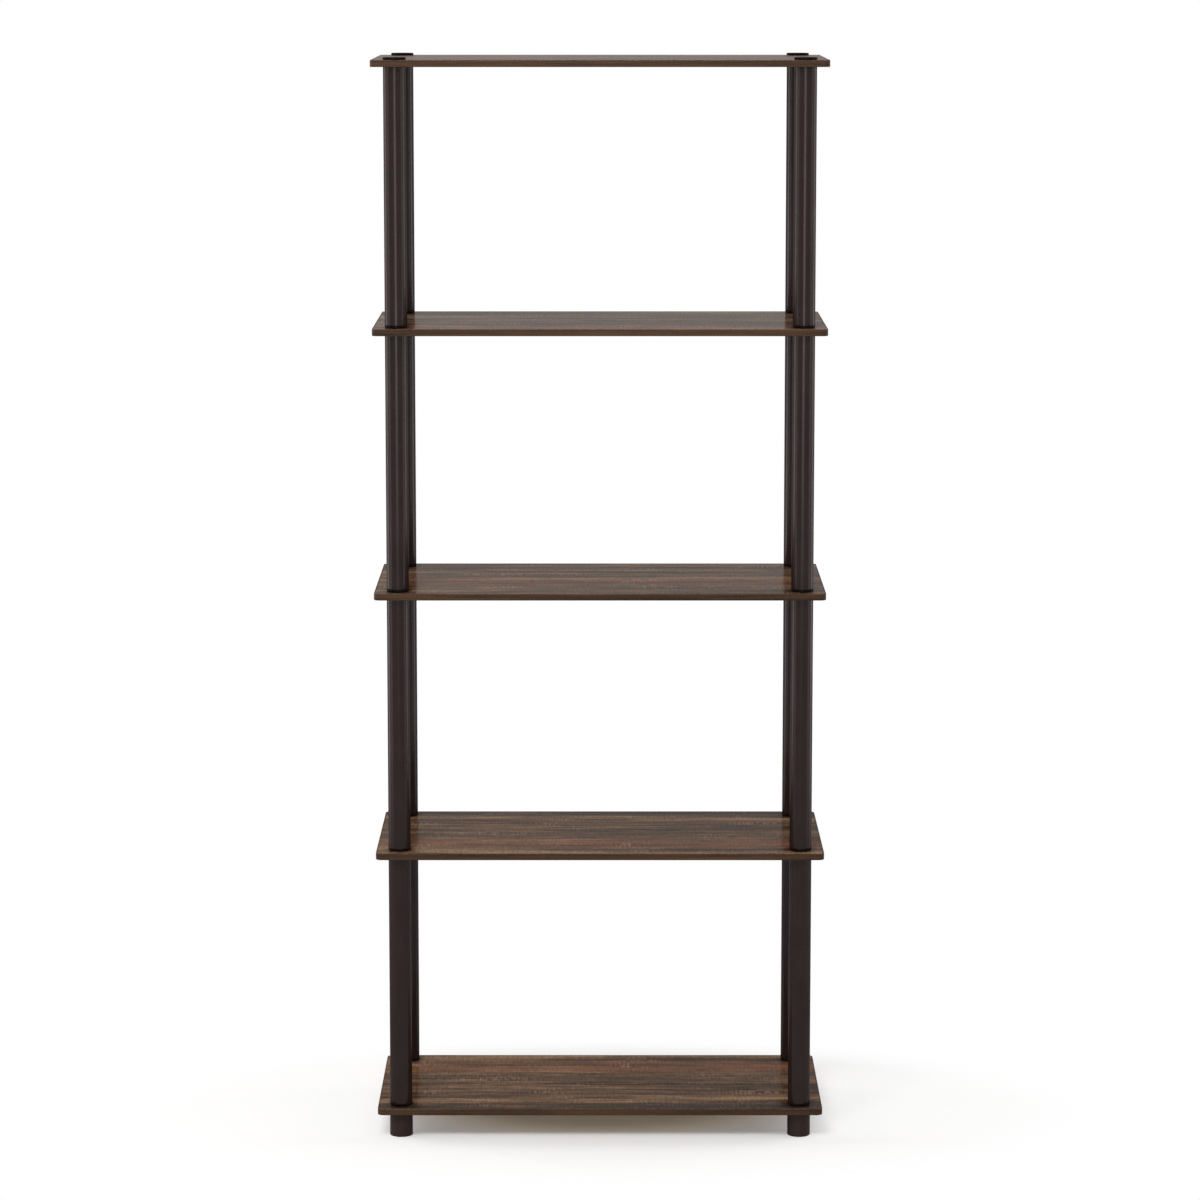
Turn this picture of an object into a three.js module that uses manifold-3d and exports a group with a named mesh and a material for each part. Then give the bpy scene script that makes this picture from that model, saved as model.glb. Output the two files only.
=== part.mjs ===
// Open bookcase: five laminated shelves carried by round plastic tubes that screw together through the shelves.
// Millimetres, +Z up. The origin is on the floor under the middle of the shelves, and the front faces -Y.
import * as THREE from "three";
import { mergeVertices } from "three/addons/utils/BufferGeometryUtils.js";
import Module from "manifold-3d";

// Shelves
const shelfWidth = 600;
const shelfDepth = 290;
const boardThickness = 9;
const shelfCornerRadius = 8;
const tierCount = 4;
const tierClearHeight = 342;
const middleFieldMargin = 4;

// Plastic band round each board's edge, glued on
const bandThickness = 1;
const bandChamfer = 0.6;
const glueLine = 0.2;

// Posts: four, each set in from the shelves' edges
const postInsetFromSide = 31;
const postInsetFromFront = 25;
const tubeRadius = 14.8;
const tubeWall = 1.5;

// Screwed shank: the same one on every stud and cap, and the same socket in every tube and foot
const shankRadius = 9.2;
const shankWall = 2.2;
const shankTipChamfer = 1.2;
const shankEngagement = 17;
const shankClearance = 0.3;
const socketRelief = 2;
const shelfHoleClearance = 0.6;
const seatGap = 0.3;

// Coupling stud: the plug in a tube's lower end, with crush ribs, and the collar that stands on the shelf
const collarHeight = 3;
const collarRounding = 0.8;
const plugLength = 18;
const plugWall = 1.8;
const plugTaper = 0.5;
const plugClearance = 0.8;
const crushRibHeight = 0.4;

// Foot: a moulded cup with a screwed boss and radial ribs
const footHeight = 33;
const footFlare = 0.6;
const footWall = 2;
const footBase = 3;
const footRounding = 1.2;
const bossWall = 1.6;
const footRibThickness = 1.6;
const footRibDrop = 1.5;
const footRibCount = 4;

// Top cap: a low flat button with a rounded edge, on a shank
const capFlare = 0.4;
const capHeight = 3;
const capRounding = 1;
const capRoundingSteps = 2;

// Facets
const crushRibCount = 8;
const sidesPerCrushRib = 2;
const roundSides = crushRibCount * sidesPerCrushRib;
const cornerSteps = 4;

// Sizes that follow
const tierPitch = tierClearHeight + boardThickness;
const tubeBore = tubeRadius - tubeWall;
const socketRadius = shankRadius + shankClearance;
const socketDepth = shankEngagement + socketRelief;
const shankLength = seatGap + boardThickness + seatGap + shankEngagement;
const shelfHoleRadius = shankRadius + shelfHoleClearance;
const postX = shelfWidth / 2 - postInsetFromSide;
const postY = shelfDepth / 2 - postInsetFromFront;
const footRadius = tubeRadius + footFlare;

// Finishes
const laminate = { color: 0x6e5a4b, roughness: 0.55, metalness: 0 };
const edgePlastic = { color: 0x51402f, roughness: 0.5, metalness: 0 };
const tubePlastic = { color: 0x2e2422, roughness: 0.38, metalness: 0 };
const fittingPlastic = { color: 0x17130f, roughness: 0.45, metalness: 0 };
const footPlastic = { color: 0x241f1c, roughness: 0.5, metalness: 0 };

const wasm = await Module();
wasm.setup();

function solidOf(geometry) {
  const bare = geometry.clone();
  bare.deleteAttribute("normal");
  bare.deleteAttribute("uv");
  const merged = mergeVertices(bare);
  return new wasm.Manifold(
    new wasm.Mesh({
      numProp: 3,
      vertProperties: merged.attributes.position.array,
      triVerts: new Uint32Array(merged.index.array),
    }),
  );
}

function geometryOf(solid) {
  const mesh = solid.getMesh();
  const geometry = new THREE.BufferGeometry();
  geometry.setAttribute("position", new THREE.BufferAttribute(mesh.vertProperties, 3));
  geometry.setIndex(new THREE.BufferAttribute(mesh.triVerts, 1));
  const faceted = geometry.toNonIndexed();
  faceted.computeVertexNormals();
  return faceted;
}

// A solid of revolution about Z. The profile lists radius, height and, where crush ribs run, how far they stand
// out, with the material on its left.
function revolved(profile) {
  const points = profile.map(([radius, height]) => new THREE.Vector2(radius, height));
  const geometry = new THREE.LatheGeometry(points, roundSides);
  const positions = geometry.attributes.position;
  for (let i = 0; i < positions.count; i += 1) {
    const [radius, , ribHeight = 0] = profile[i % profile.length];
    const side = Math.floor(i / profile.length);
    if (ribHeight === 0 || side % sidesPerCrushRib !== 0) continue;
    const raised = (radius + ribHeight) / radius;
    positions.setX(i, positions.getX(i) * raised);
    positions.setZ(i, positions.getZ(i) * raised);
  }
  return geometry.rotateX(Math.PI / 2);
}

// A profile that encloses its material all round, such as a tube's wall, comes back to where it began.
function revolvedRing(profile) {
  return revolved([...profile, profile[0]]);
}

// The outline of a rectangle with round corners, counter-clockwise from above.
function roundedOutline(width, depth, radius) {
  const points = [];
  for (let corner = 0; corner < 4; corner += 1) {
    const xSide = corner === 0 || corner === 3 ? 1 : -1;
    const ySide = corner < 2 ? 1 : -1;
    for (let step = 0; step <= cornerSteps; step += 1) {
      const angle = ((corner + step / cornerSteps) * Math.PI) / 2;
      const x = xSide * (width / 2 - radius) + radius * Math.cos(angle);
      const y = ySide * (depth / 2 - radius) + radius * Math.sin(angle);
      points.push(new THREE.Vector2(x, y));
    }
  }
  return points;
}

// Joins closed rings of equally many points into one closed surface, the last ring back to the first.
function loftedRing(rings) {
  const count = rings[0].length;
  const positions = rings.flat().flatMap((point) => [point.x, point.y, point.z]);
  const indices = [];
  rings.forEach((_, ring) => {
    const next = (ring + 1) % rings.length;
    for (let i = 0; i < count; i += 1) {
      const j = (i + 1) % count;
      const corners = [ring * count + i, ring * count + j, next * count + j, next * count + i];
      indices.push(corners[0], corners[1], corners[2], corners[0], corners[2], corners[3]);
    }
  });
  const geometry = new THREE.BufferGeometry();
  geometry.setAttribute("position", new THREE.Float32BufferAttribute(positions, 3));
  geometry.setIndex(indices);
  const faceted = geometry.toNonIndexed();
  faceted.computeVertexNormals();
  return faceted;
}

// Every post's name and axis, seen from the front.
function postPlaces() {
  const places = [];
  for (const [depthWord, ySign] of [["front", -1], ["back", 1]]) {
    for (const [sideWord, xSign] of [["left", -1], ["right", 1]]) {
      places.push({ name: `${depthWord}_${sideWord}`, x: xSign * postX, y: ySign * postY });
    }
  }
  return places;
}

// One end of the board's core, beyond the middle field, with its two post holes. Its underside is at zero.
function boardEnd(outline, fieldX, edgeY) {
  const cornerPoints = cornerSteps + 1;
  const backCorner = outline.slice(0, cornerPoints);
  const frontCorner = outline.slice(-cornerPoints);
  const joint = [new THREE.Vector2(fieldX, edgeY), new THREE.Vector2(fieldX, -edgeY)];
  const shape = new THREE.Shape([...backCorner, ...joint, ...frontCorner]);
  for (const y of [postY, -postY]) {
    const hole = [];
    for (let side = 0; side < roundSides; side += 1) {
      const angle = (2 * Math.PI * side) / roundSides;
      const x = postX + shelfHoleRadius * Math.sin(angle);
      hole.push(new THREE.Vector2(x, y + shelfHoleRadius * Math.cos(angle)));
    }
    shape.holes.push(new THREE.Path(hole));
  }
  return new THREE.ExtrudeGeometry(shape, { depth: boardThickness, bevelEnabled: false });
}

// The board's core: a plain middle field, clear of the posts' collars, joined to two ends with the post holes.
function boardGeometry() {
  const edge = bandThickness + glueLine;
  const edgeY = shelfDepth / 2 - edge;
  const fieldX = postX - tubeRadius - middleFieldMargin;
  const outline = roundedOutline(shelfWidth - 2 * edge, shelfDepth - 2 * edge, shelfCornerRadius - edge);
  const field = new THREE.BoxGeometry(2 * fieldX, 2 * edgeY, boardThickness).translate(0, 0, boardThickness / 2);
  const end = boardEnd(outline, fieldX, edgeY);
  const board = solidOf(field).add(solidOf(end)).add(solidOf(end.clone().rotateZ(Math.PI)));
  return geometryOf(board);
}

// The band, as a section carried round the board: flat against the edge, with its two outer edges eased.
function bandGeometry() {
  const section = [
    [bandThickness, 0],
    [bandChamfer, 0],
    [0, bandChamfer],
    [0, boardThickness - bandChamfer],
    [bandChamfer, boardThickness],
    [bandThickness, boardThickness],
  ];
  const rings = section.map(([inset, height]) => {
    const outline = roundedOutline(
      shelfWidth - 2 * inset,
      shelfDepth - 2 * inset,
      shelfCornerRadius - inset,
    );
    return outline.map((point) => new THREE.Vector3(point.x, point.y, height));
  });
  return loftedRing(rings);
}

// A tube, with the socket that takes the stud above fused into its upper end.
function tubeGeometry(length) {
  return revolvedRing([
    [tubeRadius, 0],
    [tubeRadius, length],
    [socketRadius, length],
    [socketRadius, length - socketDepth],
    [tubeBore, length - socketDepth - (tubeBore - socketRadius)],
    [tubeBore, 0],
  ]);
}

// The coupling stud. Its height is measured from the collar's underside, and its core is open at both ends.
function studGeometry() {
  const plugRadius = tubeBore - plugClearance;
  const plugTop = collarHeight + plugLength;
  const plugCore = plugRadius - plugWall;
  const shankCore = shankRadius - shankWall;
  return revolvedRing([
    [shankCore, -shankLength],
    [shankRadius - shankTipChamfer, -shankLength],
    [shankRadius, shankTipChamfer - shankLength],
    [shankRadius, 0],
    [tubeRadius - collarRounding, 0],
    [tubeRadius, collarRounding],
    [tubeRadius, collarHeight],
    [plugRadius, collarHeight, crushRibHeight],
    [plugRadius - plugTaper, plugTop, crushRibHeight],
    [plugCore - plugTaper, plugTop],
    [plugCore, collarHeight],
    [shankCore, collarHeight - (plugCore - shankCore)],
  ]);
}

// The foot: a cup standing on its closed base, whose boss takes the lowest stud.
function footGeometry() {
  const top = footHeight - seatGap;
  const cupRadius = footRadius - footWall;
  const bossRadius = socketRadius + bossWall;
  const cup = solidOf(
    revolved([
      [0, 0],
      [footRadius - footRounding, 0],
      [footRadius, footRounding],
      [footRadius, top],
      [cupRadius, top],
      [cupRadius, footBase],
      [bossRadius, footBase],
      [bossRadius, top],
      [socketRadius, top],
      [socketRadius, footBase],
      [0, footBase],
    ]),
  );
  const ribInner = bossRadius - bossWall / 2;
  const ribOuter = cupRadius + footWall / 2;
  const ribStart = footBase / 2;
  const ribTop = top - footRibDrop;
  let foot = cup;
  for (let rib = 0; rib < footRibCount; rib += 1) {
    const web = new THREE.BoxGeometry(ribOuter - ribInner, footRibThickness, ribTop - ribStart);
    web.translate((ribOuter + ribInner) / 2, 0, (ribTop + ribStart) / 2);
    web.rotateZ((2 * Math.PI * rib) / footRibCount);
    foot = foot.add(solidOf(web));
  }
  return geometryOf(foot);
}

// The cap: a low button over the hole in the top shelf, on a hollow shank. Its rim's underside is at zero.
function capGeometry() {
  const capRadius = tubeRadius + capFlare;
  const shankCore = shankRadius - shankWall;
  const flatRadius = capRadius - capRounding;
  const rimHeight = capHeight - capRounding;
  const profile = [
    [0, 0],
    [shankCore, 0],
    [shankCore, -shankLength],
    [shankRadius, -shankLength],
    [shankRadius, 0],
    [capRadius, 0],
  ];
  for (let step = 0; step <= capRoundingSteps; step += 1) {
    const angle = (step / capRoundingSteps) * (Math.PI / 2);
    profile.push([flatRadius + capRounding * Math.cos(angle), rimHeight + capRounding * Math.sin(angle)]);
  }
  profile.push([0, capHeight]);
  return revolved(profile);
}

function piece(name, geometry, finish) {
  const mesh = new THREE.Mesh(geometry, new THREE.MeshStandardMaterial(finish));
  mesh.name = name;
  return mesh;
}

// One shelf: the board and its band, at the height of the board's underside.
function shelf(level) {
  const group = new THREE.Group();
  group.add(piece(`shelf_board_${level + 1}`, boardGeometry(), laminate));
  group.add(piece(`edge_band_${level + 1}`, bandGeometry(), edgePlastic));
  group.position.z = footHeight + level * tierPitch;
  return group;
}

// One tier of one post: the stud standing on the shelf below, and the tube over its plug.
function postTier(tier, postName) {
  const group = new THREE.Group();
  const tubeStart = seatGap + collarHeight + seatGap;
  const tube = piece(
    `tube_${tier + 1}_${postName}`,
    tubeGeometry(tierClearHeight - tubeStart - seatGap),
    tubePlastic,
  );
  const stud = piece(`stud_${tier + 1}_${postName}`, studGeometry(), fittingPlastic);
  stud.position.z = seatGap;
  tube.position.z = tubeStart;
  group.add(stud, tube);
  group.position.z = footHeight + boardThickness + tier * tierPitch;
  return group;
}

// One post from the floor up: foot, tubes with their studs, and the cap on the top shelf.
function post({ name, x, y }) {
  const group = new THREE.Group();
  group.add(piece(`foot_${name}`, footGeometry(), footPlastic));
  for (let tier = 0; tier < tierCount; tier += 1) group.add(postTier(tier, name));
  const cap = piece(`top_cap_${name}`, capGeometry(), fittingPlastic);
  cap.position.z = footHeight + tierCount * tierPitch + boardThickness + seatGap;
  group.add(cap);
  group.position.set(x, y, 0);
  return group;
}

const bookcase = new THREE.Group();
bookcase.name = "bookcase";
for (let level = 0; level <= tierCount; level += 1) bookcase.add(shelf(level));
for (const place of postPlaces()) bookcase.add(post(place));

export default bookcase;
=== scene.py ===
"""A bookcase of five laminated shelves on round plastic tubes that screw together through the shelves.

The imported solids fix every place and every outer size. Each class below rebuilds one kind of piece over
its solid with a finer surface, gives it its finish, and sets it on the frame. Units are metres, +Z is up,
and the front faces -Y.
"""

import logging
import math
from collections.abc import Callable, Mapping, Sequence
from dataclasses import dataclass
from enum import Enum
from typing import ClassVar

import bmesh
import bpy
from mathutils import Matrix, Vector

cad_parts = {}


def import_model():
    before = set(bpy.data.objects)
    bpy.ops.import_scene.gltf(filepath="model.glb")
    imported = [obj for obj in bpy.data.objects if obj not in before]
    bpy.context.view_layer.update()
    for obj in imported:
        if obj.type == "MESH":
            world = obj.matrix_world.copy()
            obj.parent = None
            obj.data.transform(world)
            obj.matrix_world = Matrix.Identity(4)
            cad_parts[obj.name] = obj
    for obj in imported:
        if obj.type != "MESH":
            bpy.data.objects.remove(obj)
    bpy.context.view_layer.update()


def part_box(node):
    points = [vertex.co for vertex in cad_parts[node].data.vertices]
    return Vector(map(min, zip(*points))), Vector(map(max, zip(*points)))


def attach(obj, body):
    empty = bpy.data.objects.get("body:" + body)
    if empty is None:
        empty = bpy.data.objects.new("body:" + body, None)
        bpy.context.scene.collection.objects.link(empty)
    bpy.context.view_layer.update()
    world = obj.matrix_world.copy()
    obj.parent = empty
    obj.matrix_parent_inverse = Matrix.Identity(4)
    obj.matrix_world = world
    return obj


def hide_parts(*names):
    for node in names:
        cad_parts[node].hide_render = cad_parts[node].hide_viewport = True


log = logging.getLogger("bookcase")

MM = 0.001
FULL_TURN = 2.0 * math.pi
BODY = "root"
WEAR_AND_HIGHLIGHT_ATTRIBUTE = "wear_and_highlight_share"
GRAIN = "grain"
# How close to the axis a point counts as on it, how far from the end of a run its added point lies, and
# how long a run has to be to get one.
ON_AXIS = 1e-7
HOLD = 0.3 * MM
LONG_RUN = 4 * HOLD
EASING_STEPS = 4
CORNER_STEPS = 12
WHITE = (1.0, 1.0, 1.0, 1.0)
WARM = (1.0, 0.93, 0.89)

Colour = tuple[int, int, int]
Pair = tuple[float, float]
Triple = tuple[float, float, float]
Socket = bpy.types.NodeSocket
Outputs = bpy.types.NodeOutputs
Source = Socket | float | Sequence[float]
Surface = bmesh.types.BMesh
Ring = list[bmesh.types.BMVert]
Relief = Callable[[float, float], float]


class Slot(Enum):
    """The record's material slots."""

    BOARD = "laminate_board"
    BAND = "edge_band"
    TUBE = "tube_plastic"
    FITTING = "fitting_plastic"
    FOOT = "foot_plastic"


class PostPlace(Enum):
    """The four posts, by their place as seen from the front."""

    FRONT_LEFT = "front_left"
    FRONT_RIGHT = "front_right"
    BACK_LEFT = "back_left"
    BACK_RIGHT = "back_right"


class Step(Enum):
    """One step of arithmetic in a shader, on numbers or on vectors."""

    ADD = "ADD"
    SUBTRACT = "SUBTRACT"
    MULTIPLY = "MULTIPLY"
    MULTIPLY_ADD = "MULTIPLY_ADD"
    DIVIDE = "DIVIDE"
    SCALE = "SCALE"
    ABSOLUTE = "ABSOLUTE"
    LENGTH = "LENGTH"
    LARGER = "MAXIMUM"


def linear(colour: Colour) -> tuple[float, float, float, float]:
    """Turns a display colour into the linear values that shaders take, by the sRGB curve.

    Args:
        colour: red, green and blue, from 0 to 255.

    Returns:
        The linear red, green and blue, and a full alpha.
    """
    shares = [channel / 255.0 for channel in colour]
    straight = [s / 12.92 if s <= 0.04045 else ((s + 0.055) / 1.055) ** 2.4 for s in shares]
    return (straight[0], straight[1], straight[2], 1.0)


def clamped(value: float) -> float:
    """Keeps a value between 0 and 1."""
    return min(1.0, max(0.0, value))


def set_out(name: str, data: bpy.types.ID) -> bpy.types.Object:
    """Puts a new object into the scene.

    Args:
        name: the object's name.
        data: its mesh, lamp or camera.

    Returns:
        The object.
    """
    thing = bpy.data.objects.new(name, data)
    bpy.context.scene.collection.objects.link(thing)
    return thing


def meshed(name: str, bm: Surface) -> bpy.types.Object:
    """Puts a surface into the scene.

    Args:
        name: the name of the object and its mesh.
        bm: the surface, which is used up.

    Returns:
        The object.
    """
    mesh = bpy.data.meshes.new(name)
    bm.to_mesh(mesh)
    bm.free()
    return set_out(name, mesh)


@dataclass(frozen=True)
class Box:
    """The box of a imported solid."""

    low: Vector
    high: Vector

    @classmethod
    def of(cls, node: str) -> "Box":
        """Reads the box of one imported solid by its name."""
        return cls(*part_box(node))

    @property
    def axis(self) -> Vector:
        """The middle of the box seen from above, at height zero."""
        return Vector(((self.low.x + self.high.x) / 2, (self.low.y + self.high.y) / 2, 0.0))

    @property
    def half(self) -> Vector:
        """Half of the box's size. For a round solid, the width's half is the radius."""
        return (self.high - self.low) / 2

    @property
    def turning(self) -> Triple:
        """The radius of a round solid, and its lowest and highest height."""
        return (self.half.x, self.low.z, self.high.z)


@dataclass(frozen=True)
class Point:
    """One point of a section: how far out it lies, how high, how much wear and painted highlight it takes,
    and the relief on it.
    """

    out: float
    height: float
    wear_and_highlight_share: float = 0.0
    relief: Relief | None = None

    @property
    def flat(self) -> Vector:
        """The point in the plane of its section."""
        return Vector((self.out, self.height))

    def spot(self, angle: float) -> Vector:
        """Gives the point seen from above, at one angle round the axis and with its relief."""
        out = self.out + (self.relief(angle, self.height) if self.relief else 0.0)
        return Vector((out * math.cos(angle), out * math.sin(angle)))


def arc(before: Point, at: Point, after: Point, radius: float) -> list[Point]:
    """Rounds one corner of a section.

    Args:
        before: the point before the corner.
        at: the corner.
        after: the point after the corner.
        radius: the radius of the rounding.

    Returns:
        The points of the arc, with the most wear and painted highlight in its middle.
    """
    back = (before.flat - at.flat).normalized()
    on = (after.flat - at.flat).normalized()
    half_angle = back.angle(on) / 2
    middle = at.flat + (back + on).normalized() * (radius / math.sin(half_angle))
    start = at.flat + back * (radius / math.tan(half_angle)) - middle
    swing = math.copysign(math.pi - 2 * half_angle, back.y * on.x - back.x * on.y)
    points = []
    for step in range(EASING_STEPS + 1):
        share = step / EASING_STEPS
        spoke = middle + Matrix.Rotation(swing * share, 2) @ start
        points.append(Point(spoke.x, spoke.y, math.sin(math.pi * share)))
    return points


def held(points: Sequence[Point]) -> list[Point]:
    """Adds a point close to each end of every long run, so that smooth shading leaves the run flat.

    Args:
        points: the points of a section, in order.

    Returns:
        The same section with the added points.
    """
    kept = [points[0]]
    for before, after in zip(points, points[1:]):
        run = after.flat - before.flat
        if run.length > LONG_RUN:
            for share in (HOLD / run.length, 1.0 - HOLD / run.length):
                kept.append(Point(before.out + share * run.x, before.height + share * run.y))
        kept.append(after)
    return kept


def eased(*corners: Triple) -> list[Point]:
    """Turns the corners of a section into points, with its outer edges rounded.

    Args:
        corners: for each corner how far out it lies, how high, and the radius of its rounding, or zero.

    Returns:
        The points of the section, in order.
    """
    plain = [Point(out, height) for out, height, _ in corners]
    points: list[Point] = []
    for number, (_, _, radius) in enumerate(corners):
        if radius:
            points.extend(arc(*plain[number - 1:number + 2], radius))
        else:
            points.append(plain[number])
    return held(points)


@dataclass(frozen=True)
class ScrewFit:
    """The coarse thread that every stud, cap, tube and foot shares."""

    pitch: float = 3.0 * MM
    middle_radius: float = 9.35 * MM
    depth: float = 0.8 * MM
    clearance: float = 0.2 * MM
    crest_share: float = 0.24
    flank_share: float = 0.2
    run_out: float = 2.2 * MM
    rows_per_pitch: int = 8
    shank_length: float = 16.5 * MM
    core_radius: float = 7.0 * MM
    neck: float = 1.0 * MM

    @property
    def shank_root(self) -> float:
        """The radius of the shank between its ridges."""
        return self.middle_radius - self.clearance / 2 - self.depth / 2

    @property
    def socket_crest(self) -> float:
        """The radius of the socket between its grooves."""
        return self.middle_radius + self.clearance / 2 - self.depth / 2

    def run(self, low: float, high: float, female: bool) -> list[Point]:
        """Gives the rows of a threaded length, from the bottom up.

        Args:
            low: the height where the thread begins.
            high: the height where the thread ends.
            female: True for a socket's grooves, False for a shank's ridges.

        Returns:
            The points, each with the thread as its relief.
        """
        spare = self.clearance if female else 0.0
        out = self.socket_crest if female else self.shank_root
        edge = self.crest_share / 2 + self.flank_share + spare / self.pitch

        def ridge(angle: float, height: float) -> float:
            """Gives how far the thread stands above its root.

            Args:
                angle: the place round the axis, in radians.
                height: the height of the place.

            Returns:
                The height of the ridge, or the depth of the groove.
            """
            turns = height / self.pitch - angle / FULL_TURN
            away = abs(turns - math.floor(turns) - 0.5)
            fade = clamped(min(height - low, high - height) / self.run_out)
            return self.depth * clamped((edge - away) / self.flank_share) * fade

        rows = max(2, round((high - low) / self.pitch * self.rows_per_pitch))
        return [Point(out, low + (high - low) * row / rows, relief=ridge) for row in range(rows + 1)]


def new_surface() -> Surface:
    """Starts an empty surface whose points can take wear and painted highlight."""
    bm = bmesh.new()
    bm.verts.layers.float.new(WEAR_AND_HIGHLIGHT_ATTRIBUTE)
    return bm


def ring(bm: Surface, outline: Sequence[Vector], height: float, wear_and_highlight_share: float) -> Ring:
    """Adds the points of an outline at one height.

    Args:
        bm: the surface.
        outline: the outline seen from above.
        height: the height of the points.
        wear_and_highlight_share: how much wear and painted highlight the points take.

    Returns:
        The new points.
    """
    layer = bm.verts.layers.float[WEAR_AND_HIGHLIGHT_ATTRIBUTE]
    added = [bm.verts.new((*place, height)) for place in outline]
    for vertex in added:
        vertex[layer] = wear_and_highlight_share
    return added


def walled(bm: Surface, rings: Sequence[Ring], closed: bool = False) -> list[bmesh.types.BMFace]:
    """Adds the faces between each ring of points and the next.

    Args:
        bm: the surface.
        rings: the rings, all with the same number of points.
        closed: True if the last ring joins the first.

    Returns:
        The faces, ring by ring.
    """
    faces = []
    following = [*rings[1:], *rings[:1]] if closed else rings[1:]
    for here, after in zip(rings, following):
        for side, vertex in enumerate(here):
            beside = (side + 1) % len(here)
            # A ring on the axis repeats one point, which leaves a face of three corners there.
            corners = dict.fromkeys((vertex, here[beside], after[beside], after[side]))
            faces.append(bm.faces.new(list(corners)))
    return faces


def turned(section: Sequence[Point], sides: int, closed: bool) -> Surface:
    """Turns a section about the vertical axis.

    Args:
        section: the points of the section, in order.
        sides: how many sides stand for the round.
        closed: True if the section closes on itself, False if it starts and ends on the axis.

    Returns:
        The closed surface.
    """
    bm = new_surface()
    rings = []
    for point in section:
        spots = [point.spot(FULL_TURN * side / sides) for side in range(sides)]
        if point.out < ON_AXIS:
            rings.append(ring(bm, spots[:1], point.height, point.wear_and_highlight_share) * sides)
        else:
            rings.append(ring(bm, spots, point.height, point.wear_and_highlight_share))
    walled(bm, rings, closed)
    bmesh.ops.recalc_face_normals(bm, faces=bm.faces)
    return bm


def united(first: Surface, second: Surface) -> Surface:
    """Joins two solids into one.

    Args:
        first: one closed surface, which is used up.
        second: the other closed surface, which is used up.

    Returns:
        The closed surface of both.
    """
    parts = [meshed("joining", bm) for bm in (first, second)]
    joiner = parts[0].modifiers.new("join", "BOOLEAN")
    joiner.operation = "UNION"
    joiner.solver = "EXACT"
    joiner.object = parts[1]
    evaluated = parts[0].evaluated_get(bpy.context.evaluated_depsgraph_get())
    joined = bmesh.new()
    joined.from_mesh(evaluated.to_mesh())
    evaluated.to_mesh_clear()
    for part in parts:
        bpy.data.meshes.remove(part.data)
    return joined


def rounded_outline(box: Box, inset: float, radius: float) -> list[Vector]:
    """Gives the outline of a box with round corners, seen from above.

    Args:
        box: the box, whose middle is on the Z axis.
        inset: how far the outline lies inside the box.
        radius: the radius of the box's own corners.

    Returns:
        The points, counter-clockwise from above, with one more just past each end of a corner.
    """
    points = []
    for corner, (x_side, y_side) in enumerate(((1, 1), (-1, 1), (-1, -1), (1, -1))):
        middle = Vector((x_side * (box.half.x - radius), y_side * (box.half.y - radius)))
        for step in range(-1, CORNER_STEPS + 2):
            angle = (corner + clamped(step / CORNER_STEPS)) * FULL_TURN / 4
            spoke = Vector((math.cos(angle), math.sin(angle)))
            past = HOLD * ((step > CORNER_STEPS) - (step < 0))
            points.append(middle + (radius - inset) * spoke + past * Vector((-spoke.y, spoke.x)))
    return points


def circle(middle: Vector, radius: float, sides: int) -> list[Vector]:
    """Gives the outline of a round hole, counter-clockwise from above."""
    angles = [FULL_TURN * side / sides for side in range(sides)]
    return [middle.xy + radius * Vector((math.cos(angle), math.sin(angle))) for angle in angles]


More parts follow.
